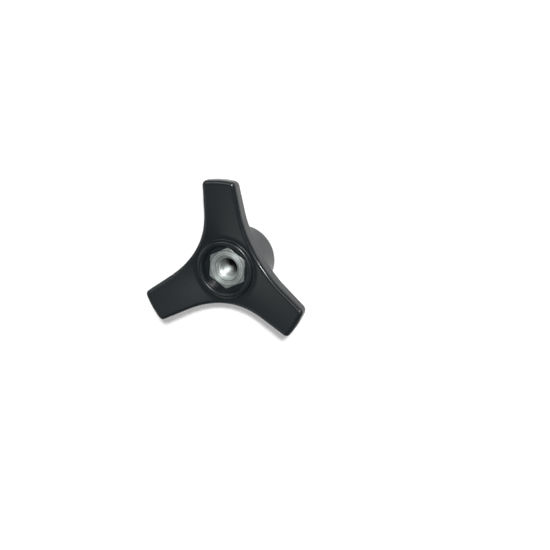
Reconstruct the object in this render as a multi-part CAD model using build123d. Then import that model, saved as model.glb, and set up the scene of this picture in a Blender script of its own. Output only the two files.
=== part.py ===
from build123d import *
import math
import os

# Three-arm star knob: a black glass-filled polyamide moulding around a hexagonal
# steel insert with a through thread. All sizes are in mm. The knob stands on the
# end of its hub: that clamping face is Z = 0 and the knob axis is +Z.

# ---- Driving dimensions ---------------------------------------------------------

# Star, seen along the axis
arm_count = 3
knob_diameter = 92.0  # circle through the arm ends
arm_end_width = 17.0  # arm width on that circle, before its corners are rounded
arm_side_taper = 5.0  # degrees each arm side closes in towards its end
waist_radius = 18.8  # from the axis to the nearest point of the star's outline
arm_corner_radius = 2.5  # upright corners of the arm ends

# Star, seen from the side: the face is flat around the collar, then the arms climb
face_height = 25.0  # flat part of the face
face_flat_radius = 17.0  # where the climb would start if it had no blend
face_climb = 13.6  # degrees
face_blend_radius = 10.0  # hollow between the flat face and the arms
root_thickness = 7.8  # from the flat face down to the underside, beside the hub
underside_climb = 16.6  # degrees, steeper than the face, so the arms thin outwards
arm_end_break = 1.3  # the underside turns up at 45 degrees this far from the end
arm_end_break_radius = 3.0
face_edge_radius = 1.8  # around the whole face, where the hand grips
underside_edge_radius = 0.7

# Hub
hub_diameter = 35.0
hub_end_radius = 1.2
hub_root_radius = 0.5  # where the hub meets the star's underside

# Raised collar around the insert
collar_outer_diameter = 30.0
collar_inner_diameter = 24.8
collar_height = 1.8  # above the flat face
collar_edge_radius = 1.1
collar_foot_radius = 0.6

# Hexagonal insert, threaded M12 right through
insert_across_flats = 19.0
insert_length = 23.0
insert_turn = -4.0  # degrees from an arm to the nearest hexagon corner
insert_edge_break = 0.2
insert_above_floor = 0.5  # how far the insert stands out of the collar's floor
groove_diameter = 16.0  # turned around the insert: the moulding grips it here
groove_width = 5.0
thread_core_diameter = 10.2
thread_mouth_diameter = 12.4  # 45 degree countersink at both ends
insert_clearance = 0.0  # none: the body is moulded around the insert

# Coring pockets in the underside of the arms, each with one low cross rib
pocket_inner_radius = 20.2
pocket_outer_radius = 37.0
pocket_inner_width = 10.0
pocket_outer_width = 4.0
pocket_corner_radius = 1.2
pocket_roof = 3.0  # plastic left above the pocket
pocket_rib_radius = 28.0
pocket_rib_width = 1.4
pocket_rib_drop = 2.0  # how far the rib stops inside the pocket's mouth
pocket_mouth_radius = 0.4

# ---- Derived sizes --------------------------------------------------------------

knob_radius = knob_diameter / 2
hub_radius = hub_diameter / 2
arm_pitch = 360 / arm_count
root_height = face_height - root_thickness
collar_top = face_height + collar_height
collar_floor = insert_length - insert_above_floor
overshoot = 5.0  # how far cutting and trimming shapes run past the part
same_height = 1e-3  # edges this close in height are taken as level with each other


def on_every_arm(shape):
    """The shape made for the arm along +Y, repeated on every arm."""
    return [Rot(0, 0, arm_pitch * number) * shape for number in range(arm_count)]


def rings_at(shape, height):
    """The round edges of a shape that lie level at a height."""
    rings = shape.edges().filter_by(GeomType.CIRCLE)
    return rings.filter_by_position(Axis.Z, height - same_height, height + same_height)


def climbing(start_height, start_radius, degrees, radius):
    """Height at a radius on a cone that climbs outwards from its start."""
    return start_height + (radius - start_radius) * math.tan(math.radians(degrees))


# ---- Star -----------------------------------------------------------------------


def half_arm():
    """Plan of half an arm along +X, from its middle line to the middle of the gap."""
    taper = math.radians(arm_side_taper)
    half_pitch = math.radians(arm_pitch / 2)
    half_width = arm_end_width / 2
    side_normal = Vector(math.sin(taper), math.cos(taper))
    gap_direction = Vector(math.cos(half_pitch), math.sin(half_pitch))

    # The gap is an arc that touches both arm sides and passes through the waist.
    side_reach = side_normal.dot(Vector(knob_radius, half_width))
    lean = side_normal.dot(gap_direction)
    gap_radius = (waist_radius * lean - side_reach) / (1 - lean)
    gap_centre = gap_direction * (waist_radius + gap_radius)
    waist = gap_direction * waist_radius
    side_start = gap_centre - side_normal * gap_radius
    side_end = Vector(
        knob_radius + overshoot, half_width - overshoot * math.tan(taper)
    )

    gap = RadiusArc(waist, side_start, -gap_radius)
    side = Line(side_start, side_end)
    closing = Polyline(side_end, (side_end.X, 0), (0, 0), waist)
    return make_face(Curve() + [gap, side, closing])


def star_outline():
    """Plan of the whole star."""
    arm = half_arm() + mirror(half_arm(), about=Plane.XZ)
    star = Sketch() + on_every_arm(Rot(0, 0, 90) * arm)
    star = star & Circle(knob_radius)
    corners = star.vertices().group_by(lambda v: Vector(v.X, v.Y).length)[-1]
    return fillet(corners, arm_corner_radius)


def under_face(drop=0.0):
    """Everything under the knob's face, or under a copy of the face set lower."""
    far = knob_radius + overshoot
    height = face_height - drop
    far_height = climbing(height, face_flat_radius, face_climb, far)
    bend = (face_flat_radius, height)
    profile = Polygon(
        (0, -overshoot), (far, -overshoot), (far, far_height), bend, (0, height),
        align=None,
    )
    corner = profile.vertices().sort_by_distance(bend)[0]
    return revolve(Plane.XZ * fillet(corner, face_blend_radius), Axis.Z)


def over_underside(raise_by=0.0):
    """Everything over the star's underside, or over a copy of it set higher."""
    height = root_height + raise_by
    turn_radius = knob_radius - arm_end_break
    turn_height = climbing(height, hub_radius, underside_climb, turn_radius)
    turn = (turn_radius, turn_height)
    far = knob_radius + overshoot
    far_height = turn_height + far - turn_radius
    top = face_height + knob_radius
    profile = Polygon(
        (0, height), (hub_radius, height), turn, (far, far_height), (far, top), (0, top),
        align=None,
    )
    corner = profile.vertices().sort_by_distance(turn)[0]
    return revolve(Plane.XZ * fillet(corner, arm_end_break_radius), Axis.Z)


def rim_edges(star):
    """The edges between the star's upright walls and its face or its underside."""
    middle = face_height - root_thickness / 2
    above = ShapeList()
    below = ShapeList()
    for wall in star.faces().filter_by(lambda face: abs(face.normal_at().Z) < 1e-3):
        for edge in wall.edges() - wall.edges().filter_by(Axis.Z):
            centre = edge.center()
            radius = Vector(centre.X, centre.Y).length
            is_above = centre.Z > climbing(middle, hub_radius, face_climb, radius)
            (above if is_above else below).append(edge)
    return above, below


def star():
    """The three arms, with every edge that the hand meets rounded."""
    blank = extrude(star_outline(), face_height + knob_radius)
    blank = blank & under_face() & over_underside()
    above = rim_edges(blank)[0]
    rounded = fillet(above, face_edge_radius)
    below = rim_edges(rounded)[1]
    return fillet(below, underside_edge_radius)


# ---- Coring pockets -------------------------------------------------------------


def pocket():
    """The hollow cored out of the arm along +Y, less the rib that crosses it."""
    length = pocket_outer_radius - pocket_inner_radius
    plan = Polygon(
        (-pocket_inner_width / 2, 0),
        (pocket_inner_width / 2, 0),
        (pocket_outer_width / 2, length),
        (-pocket_outer_width / 2, length),
        align=None,
    )
    plan = fillet(plan.vertices(), pocket_corner_radius)
    plan = Pos(0, pocket_inner_radius) * plan
    rib = Pos(0, pocket_rib_radius) * Rectangle(knob_radius, pocket_rib_width)
    hollow = extrude(plan, knob_radius) & under_face(drop=pocket_roof)
    rib = extrude(rib, knob_radius) & over_underside(raise_by=pocket_rib_drop)
    return hollow - rib


def core_out(body):
    """The body with its pockets cut and their mouths rounded."""
    cored = body - on_every_arm(pocket())

    def is_on_underside(edge):
        centre = edge.center()
        radius = Vector(centre.X, centre.Y).length
        underside = climbing(root_height, hub_radius, underside_climb, radius)
        return abs(centre.Z - underside) < pocket_mouth_radius / 4

    mouths = new_edges(body, *on_every_arm(pocket()), combined=cored)
    return fillet(mouths.filter_by(is_on_underside), pocket_mouth_radius)


# ---- Hub and collar -------------------------------------------------------------


def add_hub(body):
    """The body on its round hub, which reaches down to the clamping face."""
    cylinder = Pos(0, 0, face_height / 2) * Cylinder(hub_radius, face_height)
    body += fillet(cylinder.edges().sort_by(Axis.Z)[0], hub_end_radius)
    return fillet(rings_at(body, root_height), hub_root_radius)


def raise_collar(body):
    """The body with a rounded ring standing on its face around a sunken floor."""
    disc_height = collar_top - root_height
    disc = Cylinder(collar_outer_diameter / 2, disc_height)
    well_depth = collar_top - collar_floor
    well = Cylinder(collar_inner_diameter / 2, well_depth)
    body += Pos(0, 0, collar_top - disc_height / 2) * disc
    body -= Pos(0, 0, collar_top - well_depth / 2) * well

    body = fillet(rings_at(body, collar_top), collar_edge_radius)
    foot = rings_at(body, face_height).sort_by(Edge.radius)[0]
    return fillet(foot, collar_foot_radius)


# ---- Insert ---------------------------------------------------------------------


def insert_blank(clearance=0.0):
    """The grooved hexagon bar, before it is bored and its edges are broken."""
    half_flats = insert_across_flats / 2 + clearance
    hexagon = Rot(0, 0, 90 + insert_turn) * RegularPolygon(
        half_flats, 6, major_radius=False, rotation=0
    )
    bar = extrude(hexagon, insert_length)
    far = insert_across_flats
    groove = Cylinder(far, groove_width) - Cylinder(
        groove_diameter / 2 + clearance, groove_width
    )
    return bar - Pos(0, 0, insert_length / 2) * groove


def thread_bore():
    """The core of the thread with a countersunk mouth at both ends."""
    core = thread_core_diameter / 2
    mouth = thread_mouth_diameter / 2
    bore = Pos(0, 0, insert_length / 2) * Cylinder(core, insert_length)
    depth = mouth - core
    lower = Pos(0, 0, depth / 2) * Cone(mouth, core, depth)
    upper = Pos(0, 0, insert_length - depth / 2) * Cone(core, mouth, depth)
    return bore + lower + upper


# ---- The two pieces -------------------------------------------------------------


def knob_body():
    """The moulding: star, hub and collar in one piece around the insert."""
    body = core_out(add_hub(star()))
    body = raise_collar(body)
    return body - insert_blank(insert_clearance)


def hex_insert():
    """The metal insert, moulded in flush with the hub's clamping face."""
    blank = insert_blank()
    ends = blank.faces().filter_by(Axis.Z).group_by(Axis.Z)
    rims = ends[0].edges() + ends[-1].edges()
    return chamfer(rims, insert_edge_break) - thread_bore()


os.makedirs("parts", exist_ok=True)
export_step(knob_body(), "parts/knob_body.step")
export_step(hex_insert(), "parts/hex_insert.step")
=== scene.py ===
import math

import bmesh
import bpy
from mathutils import Matrix, Vector


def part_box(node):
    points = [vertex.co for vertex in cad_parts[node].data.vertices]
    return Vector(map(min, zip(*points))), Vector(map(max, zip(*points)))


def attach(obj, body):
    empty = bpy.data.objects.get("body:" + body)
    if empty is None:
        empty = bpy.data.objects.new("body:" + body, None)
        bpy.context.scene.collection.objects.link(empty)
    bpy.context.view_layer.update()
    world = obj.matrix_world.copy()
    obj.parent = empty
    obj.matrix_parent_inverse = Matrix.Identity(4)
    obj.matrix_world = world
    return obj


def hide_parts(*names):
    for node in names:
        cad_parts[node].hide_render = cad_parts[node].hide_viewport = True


# Three-arm star knob on a pale floor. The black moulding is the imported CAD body
# with a moulded-plastic material. The steel insert is built here, because the CAD
# insert has a plain bore and the real one has a turned face and a thread.

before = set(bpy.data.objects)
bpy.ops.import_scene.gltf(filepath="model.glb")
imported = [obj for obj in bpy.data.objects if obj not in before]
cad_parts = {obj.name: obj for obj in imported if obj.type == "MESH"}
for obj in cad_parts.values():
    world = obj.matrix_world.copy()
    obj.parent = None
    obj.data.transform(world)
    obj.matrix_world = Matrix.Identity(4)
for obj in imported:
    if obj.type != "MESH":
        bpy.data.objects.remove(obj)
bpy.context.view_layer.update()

MM = 0.001

# ---- Insert sizes, in mm, as in the part's source -------------------------------------

ACROSS_FLATS = 19.0
HEXAGON_TURN = -4.0  # degrees from the +Y arm to the nearest corner
CORNER_RADIUS = 0.35  # upright corners of the hexagon bar
END_BREAK = 0.2
GROOVE_RADIUS = 8.0
GROOVE_WIDTH = 5.0
THREAD_PITCH = 1.75
THREAD_CORE_RADIUS = 5.1  # crests of the thread
THREAD_ROOT_RADIUS = 6.0
MOUTH_RADIUS = 6.2  # 45 degree countersink at both ends

# ---- How finely the insert is meshed --------------------------------------------------

STEPS_PER_FLAT = 18
STEPS_PER_CORNER = 5
STEPS_ACROSS_END = 8
STEPS_PER_BREAK = 3
STEPS_PER_PITCH = 16
SHARP_ANGLE = 28.0  # degrees: edges that turn more than this stay sharp
WELD_DISTANCE = 1e-6  # metres
SLIVER_LENGTH = 1e-7  # metres

# ---- Colours --------------------------------------------------------------------------

PLASTIC = (0.0080, 0.0112, 0.0130)
STEEL = (0.60, 0.66, 0.645)
# Painted shade: the bore's steel darkens to this with depth and in the thread's roots.
BORE_SHADE = (0.015, 0.015, 0.015)
FLOOR = (0.76, 0.76, 0.76)
WHITE = (1.0, 1.0, 1.0)

# ---- Noise scales, per metre ----------------------------------------------------------

FLOW_MARKS = 45.0
ORANGE_PEEL = 420.0
TOOL_GRAIN = 3200.0
FINE_RINGS = 6000.0
COARSE_RINGS = 2000.0
PLATING_CLOUD = 420.0
BORE_CLOUD = 500.0

# ---- Where shade is painted into the bore, in metres ----------------------------------

DIM_SHARE = 0.55
DIM_DEPTH = (2.5 * MM, 5.5 * MM)  # below the face: painted shade begins here, where the light gets weaker
DARK_DEPTH = (9 * MM, 15 * MM)  # and is painted darkest here, where the light is gone
ROOT_SHARE = 0.8
ROOT_RADIUS = (5.35 * MM, 5.8 * MM)  # painted shade lies in the roots of the thread
ROOT_DEPTH = (1.0 * MM, 1.5 * MM)  # but not in the countersink
UNSHADED_END = (0.8 * MM, 2.0 * MM)  # above the hub's end: its countersink is left without painted shade too

# ---- Stage ----------------------------------------------------------------------------

FLOOR_HALF = 3.0  # metres
FLOOR_DROP = 0.00002  # metres that the floor lies under the knob
FLOOR_LIFT = 0.35  # glow that brings the lit floor up to white for the camera
KNOB_SHADE_REACH = (12 * MM, 20 * MM)  # from the axis: the glow fades in; nearer in, painted shade under the knob
FAR_FLOOR = (0.08, 0.6)  # metres from the axis: more glow, as the lamp's light falls off
SKY_STRENGTH = 0.11

LENS = 45.8  # mm on a picture 36 mm wide
PICTURE_WIDTH = 36.0
CAMERA_AZIMUTH = 42.07  # degrees
CAMERA_ELEVATION = 63.74
CAMERA_ROLL = -129.07
CAMERA_DISTANCE = 342.8  # mm
CAMERA_AIM = (26.61, -0.14, 25.0)  # mm
CLIP = (0.01, 20.0)  # metres


# ---- Meshes ---------------------------------------------------------------------------


def link(data, name):
    """An object with this data in the scene."""
    piece = bpy.data.objects.new(name, data)
    bpy.context.scene.collection.objects.link(piece)
    return piece


def mesh_object(name, points, faces):
    """A mesh from points in mm, with its sharp edges marked by angle."""
    made = bmesh.new()
    corners = [made.verts.new(Vector(point) * MM) for point in points]
    for face in faces:
        if len(set(face)) > 2:
            made.faces.new([corners[index] for index in face])
    bmesh.ops.remove_doubles(made, verts=made.verts, dist=WELD_DISTANCE)
    bmesh.ops.dissolve_degenerate(made, edges=made.edges, dist=SLIVER_LENGTH)
    bmesh.ops.recalc_face_normals(made, faces=made.faces)
    for face in made.faces:
        face.smooth = True
    limit = math.radians(SHARP_ANGLE)
    for edge in made.edges:
        edge.smooth = not edge.is_manifold or edge.calc_face_angle() < limit
    mesh = bpy.data.meshes.new(name)
    made.to_mesh(mesh)
    made.free()
    return link(mesh, name)


# ---- Insert ---------------------------------------------------------------------------
#
# The insert is made of rows of points. A row is a function that gives a height and a
# radius, in mm, at an angle from the middle of one flat.


def hexagon_angles():
    """Angles round the insert, close together at the hexagon's rounded corners."""
    slope = math.tan(math.pi / 6)
    flat_half = math.atan2(
        ACROSS_FLATS / 2 * slope - CORNER_RADIUS * slope, ACROSS_FLATS / 2
    )
    corner_span = math.pi / 3 - 2 * flat_half
    angles = []
    for side in range(6):
        middle = side * math.pi / 3
        for step in range(STEPS_PER_FLAT):
            share = step / STEPS_PER_FLAT * 2 - 1
            angles.append(middle + flat_half * share)
        corner_start = middle + flat_half
        for step in range(STEPS_PER_CORNER):
            angles.append(corner_start + corner_span * step / STEPS_PER_CORNER)
    return angles


def hexagon_radius(angle):
    """Distance from the axis to the rounded hexagon at an angle from a flat's middle."""
    apothem = ACROSS_FLATS / 2
    folded = abs((angle + math.pi / 6) % (math.pi / 3) - math.pi / 6)
    flat_reach = apothem / math.cos(folded)
    centre_reach = (apothem - CORNER_RADIUS) / math.cos(math.pi / 6)
    off = math.pi / 6 - folded
    across = centre_reach * math.sin(off)
    if across >= CORNER_RADIUS:
        return flat_reach
    round_reach = centre_reach * math.cos(off) + math.sqrt(CORNER_RADIUS**2 - across**2)
    return min(flat_reach, round_reach)


def hexagon_row(height, share=1.0, inset=0.0):
    """A level row, a share of the way from the mouth to the inset hexagon."""

    def at(angle):
        outside = hexagon_radius(angle) - inset
        return height, MOUTH_RADIUS + (outside - MOUTH_RADIUS) * share

    return at


def round_row(height, radius):
    """A level row at one distance from the axis."""
    return lambda angle: (height, radius)


def outer_rows(length):
    """Rows from the lower mouth over the outside, with its groove, to the upper one."""
    ring_sizes = []
    for step in range(1, STEPS_ACROSS_END + 1):
        ring_sizes.append((0.0, step / STEPS_ACROSS_END, END_BREAK))
    for step in range(1, STEPS_PER_BREAK + 1):
        angle = step / STEPS_PER_BREAK * math.pi / 2
        rise = END_BREAK * (1 - math.cos(angle))
        ring_sizes.append((rise, 1.0, END_BREAK * (1 - math.sin(angle))))
    lower = [hexagon_row(*sizes) for sizes in ring_sizes]
    upper = [
        hexagon_row(length - rise, share, inset)
        for rise, share, inset in reversed(ring_sizes)
    ]

    groove_low = (length - GROOVE_WIDTH) / 2
    groove_high = groove_low + GROOVE_WIDTH
    groove = [
        hexagon_row(groove_low),
        round_row(groove_low, GROOVE_RADIUS),
        round_row(groove_high, GROOVE_RADIUS),
        hexagon_row(groove_high),
    ]
    return lower + groove + upper


def thread_radius(along):
    """Radius of an internal 60 degree thread at a distance along its pitch."""
    depth = THREAD_ROOT_RADIUS - THREAD_CORE_RADIUS
    crest = THREAD_PITCH / 4
    root = THREAD_PITCH / 8
    flank = (THREAD_PITCH - crest - root) / 2
    place = along % THREAD_PITCH
    if place < crest:
        return THREAD_CORE_RADIUS
    if place < crest + flank:
        return THREAD_CORE_RADIUS + depth * (place - crest) / flank
    if place < crest + flank + root:
        return THREAD_ROOT_RADIUS
    return THREAD_ROOT_RADIUS - depth * (place - crest - flank - root) / flank


def bore_row(step, start, length):
    """A row that climbs one pitch along the helix, cut off by both countersinks."""

    def at(angle):
        along = step * THREAD_PITCH / STEPS_PER_PITCH
        turned = (angle - start) / (2 * math.pi)
        height = along - THREAD_PITCH + THREAD_PITCH * turned
        height = min(max(height, 0.0), length)
        nearest_end = min(height, length - height)
        return height, max(thread_radius(along), MOUTH_RADIUS - nearest_end)

    return at


def place_rows(rows, angles, bottom, points):
    """Adds the rows' points to the list and gives each row's places in it."""
    turn = math.radians(90 + HEXAGON_TURN - 30)
    places = []
    for at in rows:
        places.append(range(len(points), len(points) + len(angles)))
        for angle in angles:
            height, radius = at(angle)
            where = angle + turn
            points.append(
                (radius * math.cos(where), radius * math.sin(where), bottom + height)
            )
    return places


def bands(rows):
    """Faces that join each row to the next, all the way round."""
    faces = []
    for first, second in zip(rows, rows[1:]):
        for index in range(len(first)):
            following = (index + 1) % len(first)
            faces.append((first[index], first[following], second[following], second[index]))
    return faces


def helix_bands(rows):
    """Faces between the bore's rows. Each row ends where the row one pitch on starts."""
    faces = []
    steps = len(rows) - 1
    for step in range(steps):
        first = rows[step]
        second = rows[step + 1]
        for index in range(len(first) - 1):
            faces.append((first[index], second[index], second[index + 1], first[index + 1]))
        onward = step + STEPS_PER_PITCH
        if onward < steps:
            faces.append((first[-1], second[-1], rows[onward + 1][0], rows[onward][0]))
    return faces


def threaded_insert():
    """Hexagonal insert with turned ends, a gripping groove and an M12 thread."""
    low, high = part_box("hex_insert")
    bottom = low.z / MM
    length = high.z / MM - bottom
    angles = hexagon_angles()
    steps = (math.ceil(length / THREAD_PITCH) + 1) * STEPS_PER_PITCH
    points = []
    outside = place_rows(outer_rows(length), angles, bottom, points)
    bore_rows = [bore_row(step, angles[0], length) for step in range(steps + 1)]
    bore = place_rows(bore_rows, angles, bottom, points)
    lower_end = bands([bore[0], outside[0]])
    upper_end = bands([bore[-1], outside[-1]])
    faces = bands(outside) + helix_bands(bore) + lower_end + upper_end
    return mesh_object("threaded_insert", points, faces)


# ---- Materials ------------------------------------------------------------------------


class Nodes:
    """Short calls for building one material's node tree."""

    def __init__(self, name):
        self.material = bpy.data.materials.new(name)
        self.material.use_nodes = True
        self.tree = self.material.node_tree
        self.shader = self.tree.nodes["Principled BSDF"]
        self.place = self.add("ShaderNodeTexCoord").outputs["Object"]

    def add(self, kind, **settings):
        node = self.tree.nodes.new(kind)
        for key, value in settings.items():
            setattr(node, key, value)
        return node

    def link(self, output, socket):
        self.tree.links.new(output, socket)

    def constant(self, socket, value):
        self.shader.inputs[socket].default_value = value

    def noise(self, scale, detail, roughness=0.5, place=None):
        node = self.add("ShaderNodeTexNoise")
        self.link(place or self.place, node.inputs["Vector"])
        node.inputs["Scale"].default_value = scale
        node.inputs["Detail"].default_value = detail
        node.inputs["Roughness"].default_value = roughness
        return node.outputs["Fac"]

    def between(self, value, low, high, span=(0.0, 1.0)):
        """Runs from low to high while the value crosses the span."""
        node = self.add("ShaderNodeMapRange")
        self.link(value, node.inputs["Value"])
        sockets = ("From Min", "From Max", "To Min", "To Max")
        for socket, number in zip(sockets, (*span, low, high)):
            node.inputs[socket].default_value = number
        return node.outputs["Result"]

    def math(self, operation, first, second=None):
        node = self.add("ShaderNodeMath", operation=operation)
        for socket, value in zip(node.inputs, (first, second)):
            if isinstance(value, (int, float)):
                socket.default_value = value
            elif value is not None:
                self.link(value, socket)
        return node.outputs["Value"]

    def mix(self, share, first, second):
        """A blend of two colours, each a triple or another node's output."""
        node = self.add("ShaderNodeMix", data_type="RGBA")
        self.link(share, node.inputs["Factor"])
        for socket, colour in zip("AB", (first, second)):
            if isinstance(colour, tuple):
                node.inputs[socket].default_value = (*colour, 1)
            else:
                self.link(colour, node.inputs[socket])
        return node.outputs["Result"]

    def bump(self, height, distance, strength, after=None):
        node = self.add("ShaderNodeBump")
        self.link(height, node.inputs["Height"])
        node.inputs["Distance"].default_value = distance
        node.inputs["Strength"].default_value = strength
        if after is not None:
            self.link(after, node.inputs["Normal"])
        return node.outputs["Normal"]

    def cylinder_place(self):
        """Distance from the knob's axis, and height."""
        split = self.add("ShaderNodeSeparateXYZ")
        self.link(self.place, split.inputs["Vector"])
        x_squared = self.math("MULTIPLY", split.outputs["X"], split.outputs["X"])
        y_squared = self.math("MULTIPLY", split.outputs["Y"], split.outputs["Y"])
        radius = self.math("SQRT", self.math("ADD", x_squared, y_squared))
        return radius, split.outputs["Z"]


def shade(colour, factor):
    return tuple(channel * factor for channel in colour)


def moulded_plastic():
    """Black glass-filled polyamide: fine tool grain, faint flow marks, satin gloss."""
    n = Nodes("moulded_plastic")
    flow = n.noise(FLOW_MARKS, detail=3.0)
    grain = n.noise(TOOL_GRAIN, detail=1.0)
    orange_peel = n.noise(ORANGE_PEEL, detail=2.0)
    tint = n.mix(flow, shade(PLASTIC, 0.85), shade(PLASTIC, 1.15))
    n.link(tint, n.shader.inputs["Base Color"])
    roughness = n.math("ADD", n.between(flow, 0.22, 0.29), n.between(grain, -0.02, 0.03))
    n.link(roughness, n.shader.inputs["Roughness"])
    peel = n.bump(orange_peel, distance=0.02 * MM, strength=0.35)
    normal = n.bump(grain, distance=0.008 * MM, strength=0.35, after=peel)
    n.link(normal, n.shader.inputs["Normal"])
    return n.material


def turning_marks(n, radius, height, per_metre):
    """Noise drawn out into circles round the axis, as a lathe tool leaves."""
    place = n.add("ShaderNodeCombineXYZ")
    n.link(n.math("MULTIPLY", radius, per_metre), place.inputs["X"])
    n.link(n.math("MULTIPLY", height, per_metre / 4), place.inputs["Z"])
    return n.noise(1.0, detail=3.0, roughness=0.65, place=place.outputs["Vector"])


def turned_steel():
    """Zinc-plated steel with the rings of its turning."""
    n = Nodes("turned_steel")
    radius, height = n.cylinder_place()
    fine = turning_marks(n, radius, height, FINE_RINGS)
    coarse = turning_marks(n, radius, height, COARSE_RINGS)
    cloud = n.noise(PLATING_CLOUD, detail=4.0)
    marks = n.math("ADD", n.math("MULTIPLY", coarse, 0.88), n.math("MULTIPLY", cloud, 0.12))
    contrast = n.between(marks, 0.0, 1.0, span=(0.43, 0.57))
    tint = n.mix(contrast, shade(STEEL, 0.50), shade(STEEL, 1.32))
    n.link(tint, n.shader.inputs["Base Color"])
    roughness = n.math("ADD", n.between(fine, 0.28, 0.42), n.between(coarse, -0.06, 0.06))
    n.link(roughness, n.shader.inputs["Roughness"])
    n.constant("Metallic", 0.80)
    # The gloss is drawn out across the rings, as on any turned face.
    n.constant("Anisotropic", 0.75)
    n.constant("Anisotropic Rotation", 0.25)
    around = n.add("ShaderNodeTangent", direction_type="RADIAL", axis="Z")
    n.link(around.outputs["Tangent"], n.shader.inputs["Tangent"])
    scuffs = n.bump(cloud, distance=0.01 * MM, strength=0.5)
    normal = n.bump(fine, distance=0.03 * MM, strength=0.5, after=scuffs)
    n.link(normal, n.shader.inputs["Normal"])
    return n.material


def threaded_steel():
    """The same steel in the bore, with painted shade: darker with depth and in the thread's
    roots.
    """
    n = Nodes("threaded_steel")
    radius, height = n.cylinder_place()
    low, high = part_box("hex_insert")
    above = n.math("SUBTRACT", height, low.z)
    below = n.math("SUBTRACT", high.z, height)
    # Painted shade: the steel darkens with depth, where the lamps' light gets weaker, and
    # in the thread's roots.
    dim = n.between(below, 0.0, DIM_SHARE, DIM_DEPTH)
    dark = n.between(below, 0.0, 1.0 - DIM_SHARE, DARK_DEPTH)
    root_shade = n.between(radius, 0.0, ROOT_SHARE, ROOT_RADIUS)
    root_shade = n.math("MULTIPLY", root_shade, n.between(below, 0.0, 1.0, ROOT_DEPTH))
    painted_shade = n.math("MAXIMUM", n.math("ADD", dim, dark), root_shade)
    painted_shade = n.math("MINIMUM", painted_shade, n.between(above, 0.0, 1.0, UNSHADED_END))
    cloud = n.noise(BORE_CLOUD, detail=3.0)
    contrast = n.between(cloud, 0.0, 1.0, span=(0.3, 0.7))
    unshaded_steel = n.mix(contrast, shade(STEEL, 0.75), shade(STEEL, 0.95))
    n.link(n.mix(painted_shade, unshaded_steel, BORE_SHADE), n.shader.inputs["Base Color"])
    n.link(n.between(cloud, 0.36, 0.48), n.shader.inputs["Roughness"])
    n.constant("Metallic", 0.85)
    normal = n.bump(cloud, distance=0.02 * MM, strength=0.4)
    n.link(normal, n.shader.inputs["Normal"])
    return n.material


def dress(piece, slot_name, *materials):
    """Gives a piece its materials."""
    piece.data.materials.clear()
    for material in materials:
        piece.data.materials.append(material)


def dress_bore(piece):
    """Gives the faces of the bore and its mouths the piece's second material."""
    nearly_level = 0.99
    for face in piece.data.polygons:
        is_level = abs(face.normal.z) > nearly_level
        reach = math.hypot(face.center.x, face.center.y)
        if reach < MOUTH_RADIUS * MM and not is_level:
            face.material_index = 1


# ---- Stage, lamps and camera ----------------------------------------------------------


def floor_white():
    """Pale to the lamps, white to the camera, with painted shade under the knob, clear from
    below.
    """
    n = Nodes("floor_white")
    n.constant("Base Color", (*FLOOR, 1))
    n.constant("Roughness", 0.9)
    n.constant("Specular IOR Level", 0.0)
    rays = n.add("ShaderNodeLightPath").outputs
    seen = n.math("MAXIMUM", rays["Is Camera Ray"], rays["Is Glossy Ray"])
    seen = n.math("MAXIMUM", seen, rays["Is Transmission Ray"])
    reach = n.cylinder_place()[0]
    # The glow is left out near the axis: painted shade under the knob, seen by the camera
    # and in the steel's reflections.
    near = n.between(reach, 0.0, FLOOR_LIFT, KNOB_SHADE_REACH)
    far = n.between(reach, 0.0, 1.0, FAR_FLOOR)
    glow = n.add("ShaderNodeEmission")
    n.link(n.math("MULTIPLY", seen, n.math("ADD", near, far)), glow.inputs["Strength"])
    lit = n.add("ShaderNodeAddShader")
    n.link(n.shader.outputs["BSDF"], lit.inputs[0])
    n.link(glow.outputs["Emission"], lit.inputs[1])
    clear = n.add("ShaderNodeBsdfTransparent")
    one_sided = n.add("ShaderNodeMixShader")
    from_below = n.add("ShaderNodeNewGeometry").outputs["Backfacing"]
    n.link(from_below, one_sided.inputs["Fac"])
    n.link(lit.outputs["Shader"], one_sided.inputs[1])
    n.link(clear.outputs["BSDF"], one_sided.inputs[2])
    surface = n.tree.nodes["Material Output"].inputs["Surface"]
    n.link(one_sided.outputs["Shader"], surface)
    return n.material


def floor():
    """A wide table, just clear of the hub's end."""
    signs = ((-1, -1), (1, -1), (1, 1), (-1, 1))
    corners = [(x * FLOOR_HALF, y * FLOOR_HALF, -FLOOR_DROP) for x, y in signs]
    mesh = bpy.data.meshes.new("floor")
    mesh.from_pydata(corners, [], [(0, 1, 2, 3)])
    piece = link(mesh, "floor")
    piece.data.materials.append(floor_white())


def sky():
    """An even studio surround, white where the camera looks past the floor."""
    world = bpy.data.worlds.new("studio")
    bpy.context.scene.world = world
    world.use_nodes = True
    tree = world.node_tree
    background = tree.nodes["Background"]
    background.inputs["Color"].default_value = (*WHITE, 1)
    rays = tree.nodes.new("ShaderNodeLightPath")
    strength = tree.nodes.new("ShaderNodeMapRange")
    tree.links.new(rays.outputs["Is Camera Ray"], strength.inputs["Value"])
    strength.inputs["To Min"].default_value = SKY_STRENGTH
    strength.inputs["To Max"].default_value = 1.0
    tree.links.new(strength.outputs["Result"], background.inputs["Strength"])


def towards(azimuth, elevation):
    """Unit vector at an azimuth and an elevation in degrees."""
    around = math.radians(azimuth)
    up = math.radians(elevation)
    level = math.cos(up)
    return Vector((math.cos(around) * level, math.sin(around) * level, math.sin(up)))


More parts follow.
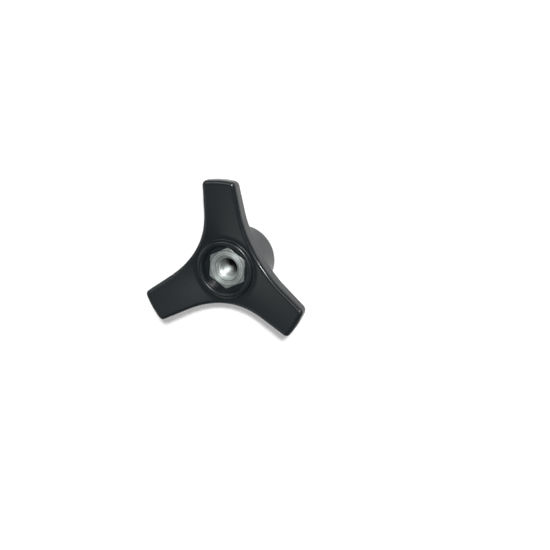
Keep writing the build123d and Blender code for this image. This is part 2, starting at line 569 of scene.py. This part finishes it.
def soft_box(name, azimuth, elevation, distance, size, power, rays):
    """A lamp that faces the knob from a direction and lights its surface or its gloss."""
    lamp = bpy.data.lights.new(name, "AREA")
    lamp.shape = "RECTANGLE"
    lamp.size, lamp.size_y = size
    lamp.energy = power
    piece = link(lamp, name)
    direction = towards(azimuth, elevation)
    piece.location = direction * distance
    piece.rotation_euler = direction.to_track_quat("Z", "Y").to_euler()
    piece.visible_diffuse = rays == "diffuse"
    piece.visible_glossy = rays == "glossy"


def lamps():
    """One small key lamp, and panels that the plastic and the steel mirror."""
    soft_box("key", azimuth=46, elevation=57, distance=0.9, size=(0.06, 0.06),
             power=9.0, rays="diffuse")
    soft_box("glint", azimuth=60, elevation=57, distance=0.9, size=(0.09, 0.09),
             power=7.0, rays="glossy")
    soft_box("wide_panel", azimuth=44, elevation=66, distance=0.9, size=(1.1, 0.3),
             power=1.0, rays="glossy")
    soft_box("left_panel", azimuth=126, elevation=50, distance=0.9, size=(0.5, 0.4),
             power=1.5, rays="glossy")
    soft_box("right_panel", azimuth=-42, elevation=60, distance=0.9, size=(0.25, 0.25),
             power=0.35, rays="glossy")
    soft_box("back_panel", azimuth=205, elevation=38, distance=1.1, size=(1.2, 0.45),
             power=1.3, rays="glossy")
    soft_box("top_panel", azimuth=42, elevation=86, distance=1.1, size=(0.35, 0.35),
             power=0.6, rays="glossy")


def camera():
    """The photograph's view: from above the gap between two arms, and rolled."""
    lens = bpy.data.cameras.new("camera")
    lens.sensor_width = PICTURE_WIDTH
    lens.lens = LENS
    lens.clip_start, lens.clip_end = CLIP
    piece = link(lens, "camera")
    back = towards(CAMERA_AZIMUTH, CAMERA_ELEVATION)
    aim = Vector(CAMERA_AIM) * MM
    piece.location = aim + back * CAMERA_DISTANCE * MM
    across = Vector((0, 0, 1)).cross(back).normalized()
    upward = back.cross(across)
    roll = math.radians(CAMERA_ROLL)
    right = across * math.cos(roll) + upward * math.sin(roll)
    top = back.cross(right)
    piece.rotation_mode = "QUATERNION"
    piece.rotation_quaternion = Matrix((right, top, back)).transposed().to_quaternion()
    bpy.context.scene.camera = piece


# ---- The scene ------------------------------------------------------------------------

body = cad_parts["knob_body"]
dress(body, "black_polyamide", moulded_plastic())
insert = threaded_insert()
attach(insert, "root")
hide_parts("hex_insert")
dress(insert, "zinc_plated_steel", turned_steel(), threaded_steel())
dress_bore(insert)

floor()
sky()
lamps()
camera()

view = bpy.context.scene.view_settings
view.view_transform = "Standard"
